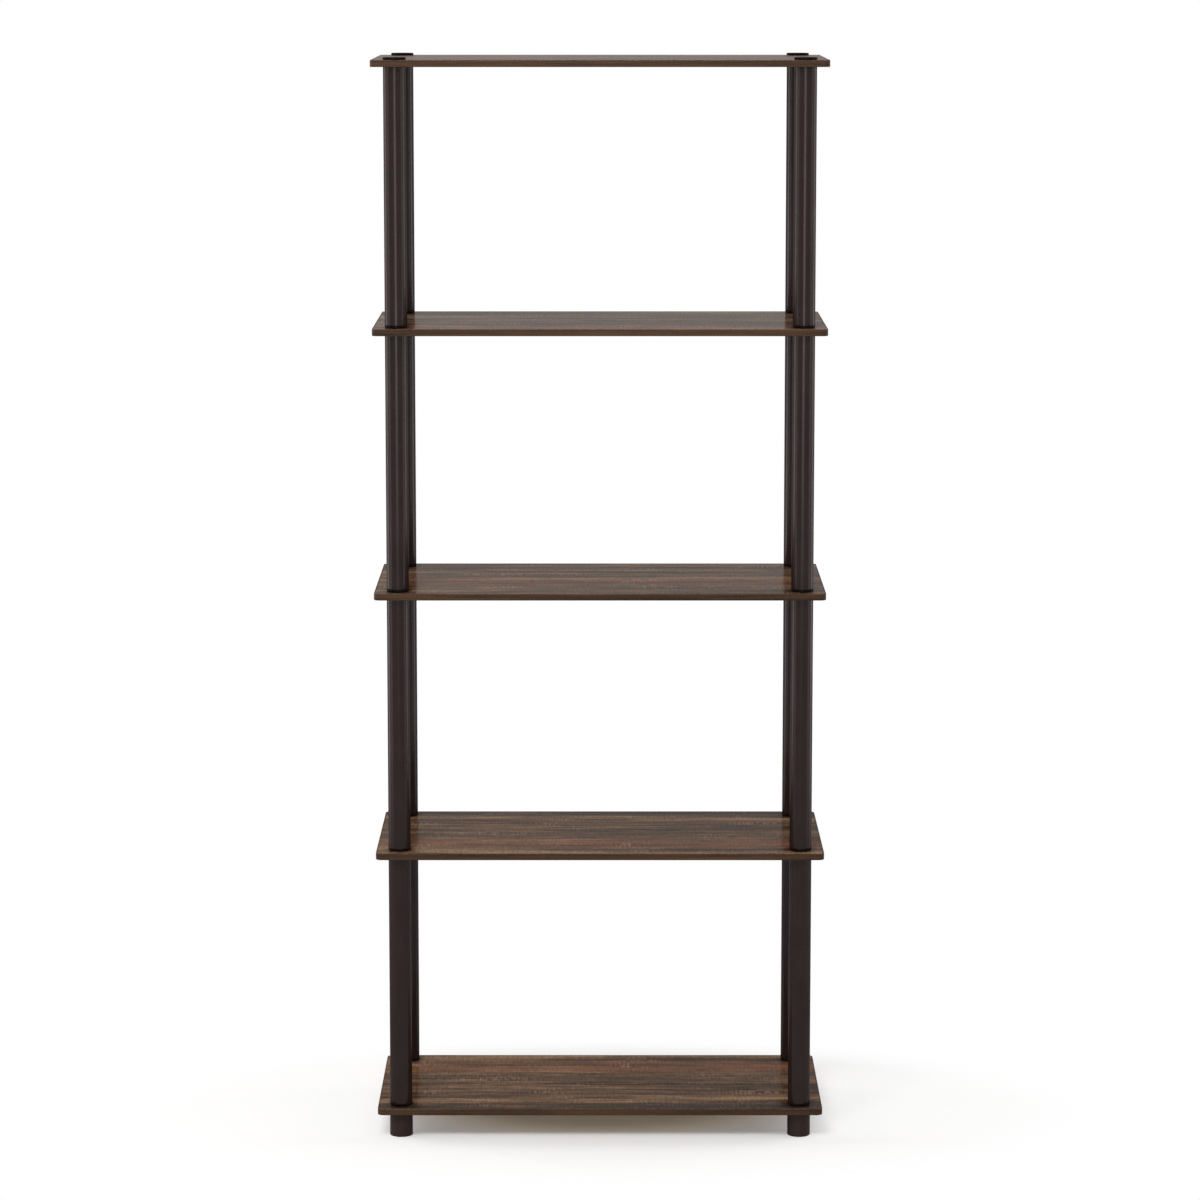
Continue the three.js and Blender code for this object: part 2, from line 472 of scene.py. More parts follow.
class ShaderTree:
    """Adds nodes to a node tree and joins them."""

    def __init__(self, tree: bpy.types.NodeTree) -> None:
        """Starts on an empty tree.

        Args:
            tree: the material's, world's or group's node tree.
        """
        tree.nodes.clear()
        self.nodes = tree.nodes
        self.links = tree.links

    def fill(self, node: bpy.types.Node, inputs: Mapping[int | str, Source]) -> None:
        """Joins a node's inputs to their sources, or sets them.

        Args:
            node: the node.
            inputs: for each input, by name or number, another node's output or a plain value.
        """
        for key, source in inputs.items():
            if isinstance(source, Socket):
                self.links.new(source, node.inputs[key])
            else:
                node.inputs[key].default_value = source

    def add(
        self, kind: str, inputs: Mapping[int | str, Source] | None = None, **settings: object
    ) -> bpy.types.Node:
        """Adds a node.

        Args:
            kind: Blender's name for the type of node.
            inputs: what its inputs hold or are joined to, by name or number.
            settings: the node's own settings.

        Returns:
            The new node.
        """
        node = self.nodes.new(kind)
        for name, value in settings.items():
            setattr(node, name, value)
        self.fill(node, inputs or {})
        return node

    def maths(self, step: Step, *values: Source) -> Socket:
        """Does one step of arithmetic on numbers."""
        return self.add("ShaderNodeMath", dict(enumerate(values)), operation=step.value).outputs[0]

    def product(self, first: Source, second: Source) -> Socket:
        """Multiplies two numbers."""
        return self.maths(Step.MULTIPLY, first, second)

    def weighed(self, first: Source, second: Source, share: float) -> Socket:
        """Mixes two numbers, with the given share of the first one."""
        return self.maths(Step.MULTIPLY_ADD, first, share, self.product(second, 1.0 - share))

    def spread(self, value: Source, low: float, high: float) -> Socket:
        """Stretches a value of 0 to 1 to the range from low to high."""
        return self.maths(Step.MULTIPLY_ADD, value, high - low, low)

    def vector(self, step: Step, inputs: Mapping[int, Source]) -> Outputs:
        """Does one step of arithmetic on places or colours."""
        return self.add("ShaderNodeVectorMath", inputs, operation=step.value).outputs

    def stretched(self, place: Source, scale: Triple, shift: Triple) -> Socket:
        """Scales a place and then moves it, each along the three axes."""
        return self.vector(Step.MULTIPLY_ADD, {0: place, 1: scale, 2: shift})[0]

    def shaded(self, colour: Source, by: Source) -> Socket:
        """Multiplies a colour or a place by a number."""
        return self.vector(Step.SCALE, {0: colour, 3: by})[0]

    def length(self, place: Source) -> Socket:
        """Measures how far a place lies from the middle."""
        return self.vector(Step.LENGTH, {0: place})["Value"]

    def noise(self, place: Source, detail: float, roughness: float) -> Socket:
        """Adds soft noise of 0 to 1, with features of about one unit and finer layers over them."""
        inputs = {"Vector": place, "Scale": 1.0, "Detail": detail, "Roughness": roughness}
        return self.add("ShaderNodeTexNoise", inputs).outputs[0]

    def between(self, value: Source, low: float, high: float) -> Socket:
        """Turns a value into a soft mask, which is 0 at low and 1 at high."""
        inputs = {"Value": value, "From Min": low, "From Max": high}
        return self.add("ShaderNodeMapRange", inputs, interpolation_type="SMOOTHSTEP").outputs["Result"]

    def mixed(self, share: Source, first: Source, second: Source) -> Socket:
        """Mixes two colours, with the given share of the second one."""
        return self.add("ShaderNodeMix", {0: share, 6: first, 7: second}, data_type="RGBA").outputs[2]

    def blended(self, value: Source, colours: Sequence[Colour], stops: Sequence[float]) -> Socket:
        """Turns a value into a colour along a row of colours.

        Args:
            value: the value, from 0 to 1.
            colours: the colours, from the lowest value up.
            stops: the value of each colour.

        Returns:
            The colour.
        """
        node = self.add("ShaderNodeValToRGB", {0: value})
        elements = node.color_ramp.elements
        while len(elements) < len(colours):
            elements.new(1.0)
        for element, colour, stop in zip(elements, colours, stops):
            element.position = stop
            element.color = linear(colour)
        return node.outputs[0]

    def bumped(self, height: Source, depth: float, strength: float) -> Socket:
        """Turns a height of 0 to 1 into a surface normal, with the real depth of a full step."""
        inputs = {"Height": height, "Distance": depth, "Strength": strength}
        return self.add("ShaderNodeBump", inputs).outputs[0]

    def either(self, share: Source, first: bpy.types.Node, second: bpy.types.Node) -> bpy.types.Node:
        """Mixes two shaders, with the given share of the second one."""
        return self.add("ShaderNodeMixShader", {0: share, 1: first.outputs[0], 2: second.outputs[0]})


@dataclass(frozen=True)
class Layer:
    """One layer of noise: how fine it is along each axis, where it starts, and its finer layers."""

    scale: Triple
    start: Triple
    detail: float = 2.0
    roughness: float = 0.5

    def on(self, tree: ShaderTree, place: Source) -> Socket:
        """Gives the noise at a place, from 0 to 1."""
        return tree.noise(tree.stretched(place, self.scale, self.start), self.detail, self.roughness)


@dataclass(frozen=True)
class Stripe:
    """A soft stripe where a value is near one number: whole within the core, and gone at the reach."""

    middle: float
    core: float
    reach: float

    def on(self, tree: ShaderTree, value: Source) -> Socket:
        """Marks the stripe, from 0 to 1."""
        away = tree.maths(Step.ABSOLUTE, tree.maths(Step.SUBTRACT, value, self.middle))
        return tree.between(away, self.reach, self.core)


@dataclass(frozen=True)
class Patch:
    """A soft oval patch along the first two axes: whole near its middle, and gone at the reach."""

    middle: Pair
    reach: Pair
    core_share: float = 0.4

    def on(self, tree: ShaderTree, place: Source) -> Socket:
        """Marks the patch.

        Args:
            tree: the tree to add to.
            place: the place.

        Returns:
            The mask, from 0 to 1.
        """
        x_scale, y_scale = (1.0 / reach for reach in self.reach)
        shift = (-self.middle[0] * x_scale, -self.middle[1] * y_scale, 0.0)
        oval = tree.stretched(place, (x_scale, y_scale, 0.0), shift)
        return tree.between(tree.length(oval), 1.0, self.core_share)


@dataclass(frozen=True)
class Effect:
    """A surface effect that finishes share: one node group, which takes a place and named numbers."""

    name: ClassVar[str]
    numbers: ClassVar[Sequence[str]] = ()

    def draw(self, tree: ShaderTree, given: Outputs) -> Mapping[str, Socket]:
        """Draws the effect.

        Args:
            tree: the group's tree.
            given: the group's inputs.

        Returns:
            The group's outputs, each from 0 to 1.
        """
        raise NotImplementedError

    def group(self) -> bpy.types.NodeTree:
        """Builds the node group, the first time that it is asked for.

        Returns:
            The node group.
        """
        found = bpy.data.node_groups.get(self.name)
        if found:
            return found
        group = bpy.data.node_groups.new(self.name, "ShaderNodeTree")
        group.interface.new_socket("Place", in_out="INPUT", socket_type="NodeSocketVector")
        for name in self.numbers:
            group.interface.new_socket(name, in_out="INPUT", socket_type="NodeSocketFloat")
        tree = ShaderTree(group)
        drawn = self.draw(tree, tree.add("NodeGroupInput").outputs)
        for name in drawn:
            group.interface.new_socket(name, in_out="OUTPUT", socket_type="NodeSocketFloat")
        tree.add("NodeGroupOutput", drawn)
        return group

    def on(self, tree: ShaderTree, inputs: Mapping[str, Source]) -> Outputs:
        """Places the effect in a material and gives its outputs."""
        return tree.add("ShaderNodeGroup", inputs, node_tree=self.group()).outputs


def grain_layer(
    along: float, across: float, start: float, detail: float = 2.0, roughness: float = 0.5
) -> Layer:
    """Gives a layer of the wood print, finer across the grain than along it, and new for each sheet."""
    sheets_apart = 61.0
    return Layer((along, across, sheets_apart), (0.0, 0.0, start), detail, roughness)


@dataclass(frozen=True)
class WoodPrint(Effect):
    """Printed wood grain. Its place runs along the grain, across it and from sheet to sheet.

    One sheet of the print has a dark heart line near its middle, a reddish streak behind that, and a slate
    edge at the front, each wandering and broken up like the rest of the grain.
    """

    name: ClassVar[str] = "wood_print"

    slow_wander: Layer = grain_layer(2.6, 7.0, 3.0, 1.5)
    slow_swing: float = 11.0 * MM
    quick_wander: Layer = grain_layer(17.0, 30.0, 7.0)
    quick_swing: float = 3.0 * MM
    tone: Layer = grain_layer(1.8, 26.0, 11.0, 3.0, 0.6)
    streak: Layer = grain_layer(12.0, 95.0, 17.0, 5.0, 0.75)
    fibre: Layer = grain_layer(75.0, 900.0, 23.0, 2.0, 0.6)
    breaks: Layer = grain_layer(4.5, 40.0, 29.0, 2.0, 0.6)
    line_field: Layer = grain_layer(1.7, 34.0, 41.0, 1.0)
    cross: Layer = grain_layer(340.0, 42.0, 47.0, 2.0, 0.55)
    cloud: Layer = grain_layer(9.0, 26.0, 53.0, 1.0)
    red: Stripe = Stripe(78.0 * MM, 10.0 * MM, 40.0 * MM)
    red_breaks: Pair = (0.3, 0.56)
    slate: Stripe = Stripe(-136.0 * MM, 8.0 * MM, 28.0 * MM)
    slate_breaks: Pair = (0.68, 0.42)
    shade: Stripe = Stripe(18.0 * MM, 4.0 * MM, 30.0 * MM)
    shade_share: float = 0.3
    heart: Stripe = Stripe(14.0 * MM, 1.5 * MM, 9.0 * MM)
    heart_breaks: Pair = (0.34, 0.54)
    line: Stripe = Stripe(0.5, 0.004, 0.03)
    line_breaks: Pair = (0.42, 0.58)
    cloud_marks: Pair = (0.56, 0.74)
    cross_marks: Pair = (0.46, 0.64)
    fleck_patches: tuple[Patch, ...] = (
        Patch((-141.0 * MM, 13.0 * MM), (62.0 * MM, 20.0 * MM)),
        Patch((226.0 * MM, -61.0 * MM), (30.0 * MM, 13.0 * MM)),
        Patch((34.0 * MM, 88.0 * MM), (22.0 * MM, 24.0 * MM)),
    )

    def draw(self, tree: ShaderTree, given: Outputs) -> Mapping[str, Socket]:
        """Draws the masks of the print.

        Args:
            tree: the group's tree.
            given: the place in the print, in metres.

        Returns:
            The masks, each from 0 to 1.
        """
        place = given["Place"]
        slow = tree.spread(self.slow_wander.on(tree, place), -self.slow_swing, self.slow_swing)
        quick = tree.spread(self.quick_wander.on(tree, place), -self.quick_swing, self.quick_swing)
        shift = tree.add("ShaderNodeCombineXYZ", {"Y": tree.maths(Step.ADD, slow, quick)}).outputs[0]
        wavy = tree.vector(Step.ADD, {0: place, 1: shift})[0]
        across = tree.add("ShaderNodeSeparateXYZ", {0: wavy}).outputs["Y"]
        breaks = self.breaks.on(tree, place)
        cross = self.cross.on(tree, place)

        def broken(mask: Socket, marks: Pair) -> Socket:
            """Breaks a mask up along the grain."""
            return tree.product(mask, tree.between(breaks, *marks))

        red = broken(self.red.on(tree, across), self.red_breaks)
        slate = broken(self.slate.on(tree, across), self.slate_breaks)
        heart = broken(self.heart.on(tree, across), self.heart_breaks)
        line = broken(self.line.on(tree, self.line_field.on(tree, wavy)), self.line_breaks)
        cluster = tree.between(self.cloud.on(tree, place), *self.cloud_marks)
        for patch in self.fleck_patches:
            cluster = tree.maths(Step.LARGER, cluster, patch.on(tree, place))
        return {
            "Tone": self.tone.on(tree, wavy),
            "Streak": self.streak.on(tree, wavy),
            "Fibre": self.fibre.on(tree, wavy),
            "Cross": cross,
            "Red": red,
            "Slate": tree.maths(Step.MULTIPLY_ADD, self.shade.on(tree, across), self.shade_share, slate),
            "Vein": tree.maths(Step.LARGER, heart, line),
            "Fleck": tree.product(tree.between(cross, *self.cross_marks), cluster),
        }


@dataclass(frozen=True)
class MouldedSkin(Effect):
    """The skin of moulded plastic: broad cloudy patches and a fine even grain of a given size."""

    name: ClassVar[str] = "moulded_skin"
    numbers: ClassVar[Sequence[str]] = ("Grain",)

    cloud: Layer = Layer((38.0, 38.0, 21.0), (2.0, 5.0, 3.0), 3.0, 0.55)
    grain_detail: float = 3.0
    grain_roughness: float = 0.6

    def draw(self, tree: ShaderTree, given: Outputs) -> Mapping[str, Socket]:
        """Draws the skin.

        Args:
            tree: the group's tree.
            given: the place in metres, and the size of the fine grain.

        Returns:
            The cloudiness and the height of the grain, each from 0 to 1.
        """
        per_metre = tree.maths(Step.DIVIDE, 1.0, given["Grain"])
        fine = tree.shaded(given["Place"], per_metre)
        height = tree.noise(fine, self.grain_detail, self.grain_roughness)
        return {"Cloud": self.cloud.on(tree, given["Place"]), "Height": height}


@dataclass(frozen=True)
class DrawnLines(Effect):
    """The faint lines that a die leaves along an extruded piece, which runs along the third axis."""

    name: ClassVar[str] = "drawn_lines"

    wide: Layer = Layer((420.0, 420.0, 0.7), (1.0, 2.0, 3.0))
    thin: Layer = Layer((1900.0, 1900.0, 2.1), (4.0, 5.0, 6.0))
    wide_share: float = 0.6

    def draw(self, tree: ShaderTree, given: Outputs) -> Mapping[str, Socket]:
        """Draws the lines, from 0 to 1, at a place in metres."""
        wide, thin = (layer.on(tree, given["Place"]) for layer in (self.wide, self.thin))
        return {"Lines": tree.weighed(wide, thin, self.wide_share)}


@dataclass(frozen=True)
class EdgeWearAndHighlight(Effect):
    """The light, broken rub that handling leaves along an edge. On the edge band's top rounding it is also
    a painted highlight.
    """

    name: ClassVar[str] = "edge_wear_and_highlight"
    numbers: ClassVar[Sequence[str]] = ("Edge", "Amount")

    patches: Layer = Layer((170.0, 170.0, 240.0), (6.0, 4.0, 2.0), 4.0, 0.65)
    patch_marks: Pair = (0.34, 0.72)

    def draw(self, tree: ShaderTree, given: Outputs) -> Mapping[str, Socket]:
        """Draws the rub and highlight.

        Args:
            tree: the group's tree.
            given: the place in metres, how much the spot is an edge, and how strong the rub and highlight
                are.

        Returns:
            The rub and painted highlight, from 0 to 1.
        """
        broken = tree.between(self.patches.on(tree, given["Place"]), *self.patch_marks)
        rubbed = tree.product(broken, given["Edge"])
        return {"RubAndHighlight": tree.product(rubbed, given["Amount"])}


@dataclass(frozen=True)
class Finish:
    """A surface finish, built as one material."""

    name: str
    slot: Slot
    roughness: float
    coat: float
    coat_roughness: float
    coat_ior: float
    wear_and_highlight: float
    wear_and_highlight_colour: Colour

    specular: ClassVar[float] = 0.0
    roughness_swing: ClassVar[float]
    coat_swing: ClassVar[float]

    def material(self) -> bpy.types.Material:
        """Builds the material, the first time that it is asked for.

        Returns:
            The material.
        """
        found = bpy.data.materials.get(self.name)
        if found:
            return found
        material = bpy.data.materials.new(self.name)
        material.use_nodes = True
        tree = ShaderTree(material.node_tree)
        place = tree.add("ShaderNodeTexCoord").outputs["Object"]
        edge = tree.add("ShaderNodeAttribute", attribute_name=WEAR_AND_HIGHLIGHT_ATTRIBUTE).outputs["Fac"]
        rub_and_highlight = EdgeWearAndHighlight().on(tree, {"Place": place, "Edge": edge, "Amount": self.wear_and_highlight})["RubAndHighlight"]
        sheen = {
            "Specular IOR Level": self.specular,
            "Coat Roughness": self.coat_roughness,
            "Coat IOR": self.coat_ior,
        }
        surface = tree.add("ShaderNodeBsdfPrincipled", {**sheen, **self.paint(tree, place, rub_and_highlight)})
        tree.add("ShaderNodeOutputMaterial", {"Surface": surface.outputs[0]})
        return material

    def paint(self, tree: ShaderTree, place: Socket, rub_and_highlight: Socket) -> Mapping[str, Source]:
        """Draws the surface's colour, roughness, coat and normal.

        Args:
            tree: the material's tree.
            place: the place on the piece, in metres.
            rub_and_highlight: how much the spot is rubbed, and on the band's top edge how much painted
                highlight it takes.

        Returns:
            The Principled shader's inputs, by name.
        """
        raise NotImplementedError

    def sheen(self, tree: ShaderTree, value: Socket) -> dict[str, Socket]:
        """Makes the surface smoother, and its coat thicker, as a value goes from 0 to 1.

        Args:
            tree: the material's tree.
            value: the value.

        Returns:
            The roughness and the coat's weight, by the names of their inputs.
        """
        swing, thin, thick = self.roughness_swing, 1.0 - self.coat_swing, 1.0 + self.coat_swing
        return {
            "Roughness": tree.spread(value, self.roughness + swing, self.roughness - swing),
            "Coat Weight": tree.spread(value, self.coat * thin, self.coat * thick),
        }


@dataclass(frozen=True)
class WoodFinish(Finish):
    """Printed wood with long streaks, under a clear satin face."""

    roughness_swing: ClassVar[float] = 0.07
    coat_swing: ClassVar[float] = 0.1

    tones: Sequence[Colour]
    red: Colour
    slate: Colour
    vein: Colour
    fleck: Colour
    tone_stops: Sequence[float] = (0.4, 0.475, 0.525, 0.6)
    streak_share: float = 0.42
    red_share: float = 0.5
    slate_share: float = 0.6
    vein_share: float = 0.6
    fleck_share: float = 0.3
    fibre_contrast: float = 0.9
    cross_contrast: float = 0.6
    pore_depth: float = 0.035 * MM
    pore_strength: float = 0.5
    pore_share: float = 0.7
    collar_shade: float = 0.0
    collar_reach: Pair = (15.0 * MM, 26.0 * MM)

    def painted_collar_shade(self, tree: ShaderTree, place: Socket) -> Socket:
        """Paints shade into the face's colour close to each post, where little light comes in beside the
        collar.

        Args:
            tree: the material's tree.
            place: the place on the piece, in metres.

        Returns:
            What to multiply the colour by.
        """
        axis = Box.of(f"foot_{PostPlace.BACK_RIGHT.value}").axis
        quarter = tree.vector(Step.ABSOLUTE, {0: place})[0]
        flat = tree.stretched(quarter, (1.0, 1.0, 0.0), (-axis.x, -axis.y, 0.0))
        away = tree.between(tree.length(flat), *self.collar_reach)
        return tree.spread(away, 1.0 - self.collar_shade, 1.0)

    def paint(self, tree: ShaderTree, place: Socket, rub_and_highlight: Socket) -> Mapping[str, Source]:
        """Draws the printed colour, the satin sheen and the pressed pores.

        Args:
            tree: the material's tree.
            place: the place on the piece, in metres.
            rub_and_highlight: how much the spot is rubbed, and on the band's top edge how much painted
                highlight it takes.

        Returns:
            The Principled shader's inputs, by name.
        """
        grain = tree.add("ShaderNodeAttribute", attribute_name=GRAIN).outputs["Vector"]
        masks = WoodPrint().on(tree, {"Place": grain})
        tone = tree.weighed(masks["Streak"], masks["Tone"], self.streak_share)
        colour = tree.blended(tone, self.tones, self.tone_stops)
        for mask, strength, second in (
            ("Red", self.red_share, self.red),
            ("Slate", self.slate_share, self.slate),
            ("Vein", self.vein_share, self.vein),
            ("Fleck", self.fleck_share, self.fleck),
        ):
            colour = tree.mixed(tree.product(masks[mask], strength), colour, linear(second))
        for mask, contrast in (("Fibre", self.fibre_contrast), ("Cross", self.cross_contrast)):
            shade = tree.spread(masks[mask], 1.0 - contrast / 2, 1.0 + contrast / 2)
            colour = tree.shaded(colour, shade)
        # Painted shade round each collar.
        if self.collar_shade:
            colour = tree.shaded(colour, self.painted_collar_shade(tree, place))
        pores = tree.weighed(masks["Fibre"], masks["Streak"], self.pore_share)
        return {
            "Base Color": tree.mixed(rub_and_highlight, colour, linear(self.wear_and_highlight_colour)),
            "Normal": tree.bumped(pores, self.pore_depth, self.pore_strength),
            **self.sheen(tree, masks["Fibre"]),
        }


@dataclass(frozen=True)
class PlasticFinish(Finish):
    """Dark moulded or extruded plastic."""

    roughness_swing: ClassVar[float] = 0.08
    coat_swing: ClassVar[float] = 0.3

    light: Colour
    dark: Colour
    cloud_marks: Pair = (0.3, 0.7)
    grain: float = 0.5 * MM
    grain_depth: float = 0.02 * MM
    grain_strength: float = 0.6
    line_share: float = 0.0
    rub_roughness: float = 0.1

    def paint(self, tree: ShaderTree, place: Socket, rub_and_highlight: Socket) -> Mapping[str, Source]:
        """Draws the cloudy colour, the satin sheen and the skin.

        Args:
            tree: the material's tree.
            place: the place on the piece, in metres.
            rub_and_highlight: how much the spot is rubbed.

        Returns:
            The Principled shader's inputs, by name.
        """
        skin = MouldedSkin().on(tree, {"Place": place, "Grain": self.grain})
        lines = DrawnLines().on(tree, {"Place": place})["Lines"]
        cloud, height = (tree.weighed(lines, skin[name], self.line_share) for name in ("Cloud", "Height"))
        colour = tree.mixed(tree.between(cloud, *self.cloud_marks), linear(self.dark), linear(self.light))
        sheen = self.sheen(tree, cloud)
        return {
            "Base Color": tree.mixed(rub_and_highlight, colour, linear(self.wear_and_highlight_colour)),
            "Roughness": tree.maths(Step.MULTIPLY_ADD, rub_and_highlight, self.rub_roughness, sheen["Roughness"]),
            "Coat Weight": sheen["Coat Weight"],
            "Normal": tree.bumped(height, self.grain_depth, self.grain_strength),
        }


LAMINATE = WoodFinish(
    name="printed_laminate", slot=Slot.BOARD,
    roughness=0.46, coat=0.4, coat_roughness=0.2, coat_ior=1.07,
    wear_and_highlight=0.25, wear_and_highlight_colour=(139, 117, 97),
    tones=((54, 43, 35), (85, 65, 50), (105, 80, 61), (136, 108, 81)),
    red=(134, 84, 61), slate=(56, 47, 40), vein=(42, 37, 35), fleck=(146, 116, 93),
    red_share=0.54, slate_share=0.84, fleck_share=0.46, fibre_contrast=1.1, cross_contrast=1.1,
    collar_shade=0.45,
)
EDGE_PRINT = WoodFinish(
    name="printed_edge_plastic", slot=Slot.BAND,
    roughness=0.48, coat=0.2, coat_roughness=0.34, coat_ior=1.3,
    # The band's full wear and its light colour, laid only on the top rounding, paint a highlight along the
    # upper edge as well as wear.
    wear_and_highlight=1.0, wear_and_highlight_colour=(124, 104, 86),
    tones=((46, 34, 26), (59, 43, 32), (69, 51, 38), (82, 62, 46)),
    red=(84, 52, 38), slate=(54, 46, 38), vein=(36, 28, 24), fleck=(98, 79, 62), fleck_share=0.1,
    tone_stops=(0.36, 0.46, 0.54, 0.64), cross_contrast=0.2,
)
TUBE_PLASTIC = PlasticFinish(
    name="extruded_tube_plastic", slot=Slot.TUBE,
    roughness=0.42, coat=0.12, coat_roughness=0.2, coat_ior=2.0,
    wear_and_highlight=0.5, wear_and_highlight_colour=(70, 60, 56),
    light=(35, 23, 21), dark=(30, 19, 17), line_share=0.5, grain_depth=0.004 * MM,
)
FITTING_PLASTIC = PlasticFinish(
    name="moulded_fitting_plastic", slot=Slot.FITTING,
    roughness=0.46, coat=0.1, coat_roughness=0.34, coat_ior=1.5,
    wear_and_highlight=0.3, wear_and_highlight_colour=(44, 37, 34),
    light=(15, 10, 9), dark=(11, 7, 6), grain=0.7 * MM, grain_depth=0.01 * MM,
)
FOOT_PLASTIC = PlasticFinish(
    name="moulded_foot_plastic", slot=Slot.FOOT,
    roughness=0.48, coat=0.24, coat_roughness=0.36, coat_ior=1.5,
    wear_and_highlight=0.4, wear_and_highlight_colour=(66, 58, 54),
    light=(43, 31, 28), dark=(37, 26, 24), grain=0.6 * MM, grain_depth=0.01 * MM,
)


@dataclass
class Piece:
    """One piece of the bookcase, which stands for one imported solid."""

    node: str
    name: str
    finish: Finish

    sharp_angle: ClassVar[float] = math.radians(38.0)

    @property
    def box(self) -> Box:
        """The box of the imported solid."""
        return Box.of(self.node)

    def surface(self) -> Surface:
        """Builds the closed surface in its place."""
        raise NotImplementedError

    def build(self) -> None:
        """Builds the piece, dresses it and sets it on the frame."""
        bm = self.surface()
        for face in bm.faces:
            face.smooth = True
        for edge in bm.edges:
            edge.smooth = edge.calc_face_angle(0.0) < self.sharp_angle
        piece = meshed(self.name, bm)
        piece.data.materials.append(self.finish.material())
        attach(piece, BODY)
        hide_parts(self.node)
        log.info("%s: %d faces, %s", self.name, len(piece.data.polygons), self.finish.slot.value)


@dataclass
class TurnedPiece(Piece):
    """A round piece, turned from one section about its post's axis."""

    sides: ClassVar[int] = 64
    screw: ClassVar[ScrewFit] = ScrewFit()
    closed: ClassVar[bool] = True

    def section(self) -> list[Point]:
        """Gives the section at its real height, closed on itself or ending on the axis."""
        raise NotImplementedError

    def surface(self) -> Surface:
        """Turns the section and moves it to the post.

        Returns:
            The closed surface.
        """
        bm = turned(self.section(), self.sides, self.closed)
        bmesh.ops.translate(bm, vec=self.box.axis, verts=bm.verts)
        return bm


@dataclass
class Tube(TurnedPiece):
    """An extruded tube with a threaded socket in its upper end."""

    wall: float = 1.5 * MM
    end_easing: float = 0.4 * MM
    socket_depth: float = 19.0 * MM
    thread_length: float = 16.0 * MM
    lead_in: float = 0.8 * MM

    def section(self) -> list[Point]:
        """Gives the wall, with the socket's thread at the top.

        Returns:
            The points, which close on themselves.
        """
        radius, low, high = self.box.turning
        bore = radius - self.wall
        crest = self.screw.socket_crest
        thread_high = high - self.lead_in
        shoulder = high - self.socket_depth
        outside = eased(
            (bore, low, 0.0),
            (radius, low, self.end_easing),
            (radius, high, self.end_easing),
            (crest + self.lead_in, high, 0.0),
        )
        thread = self.screw.run(thread_high - self.thread_length, thread_high, female=True)[::-1]
        return [*outside, *thread, Point(crest, shoulder), Point(bore, shoulder - (bore - crest))]


@dataclass
class CouplingStud(TurnedPiece):
    """A stud that joins two tubes: a ribbed plug, the collar that shows, and a threaded shank."""

    collar_height: float = 3.0 * MM
    collar_easing: float = 0.8 * MM
    shoulder_easing: float = 0.3 * MM
    plug_length: float = 18.0 * MM
    plug_clearance: float = 0.8 * MM
    plug_taper: float = 0.5 * MM
    plug_wall: float = 1.8 * MM
    rib_height: float = 0.4 * MM
    rib_count: int = 8
    rib_gap: float = 0.4 * MM
    lead_in: float = 1.2 * MM
    lead_in_taper: float = 0.3 * MM
    tip_easing: float = 1.0 * MM
    tip_length: float = 1.5 * MM
    thread_gap: float = 1.6 * MM

    def crush_rib(self, angle: float, height: float) -> float:
        """Gives how far the crush ribs stand out at one angle, the same at every height."""
        return self.rib_height * max(0.0, math.cos(self.rib_count * angle)) ** 3

    def section(self) -> list[Point]:
        """Gives the stud from its tip up its outside and down its core.

        Returns:
            The points, which close on themselves because the core is open.
        """
        collar, low, high = self.box.turning
        shoulder = high - self.plug_length
        seat = shoulder - self.collar_height
        root, inner = self.screw.shank_root, self.screw.core_radius
        plug = collar - Tube.wall - self.plug_clearance
        tip = plug - self.plug_taper
        bore = plug - self.plug_wall
        foot = eased(
            (inner, low, 0.0), (root, low, self.tip_easing), (root, low + self.tip_length, 0.0)
        )
        thread = self.screw.run(low + self.thread_gap, low + self.screw.shank_length, female=False)
        flange = eased(
            (root, seat - self.screw.neck, 0.0),
            (root, seat, 0.0),
            (collar, seat, self.collar_easing),
            (collar, shoulder, self.shoulder_easing),
            (plug, shoulder, 0.0),
        )
        ribs = [
            Point(plug, shoulder + self.rib_gap, relief=self.crush_rib),
            Point(tip, high - self.lead_in, relief=self.crush_rib),
            Point(tip - self.lead_in_taper, high),
        ]
        core = [
            Point(bore - self.plug_taper, high),
            Point(bore, shoulder),
            Point(inner, shoulder - (bore - inner)),
        ]
        return foot + thread + flange + ribs + core


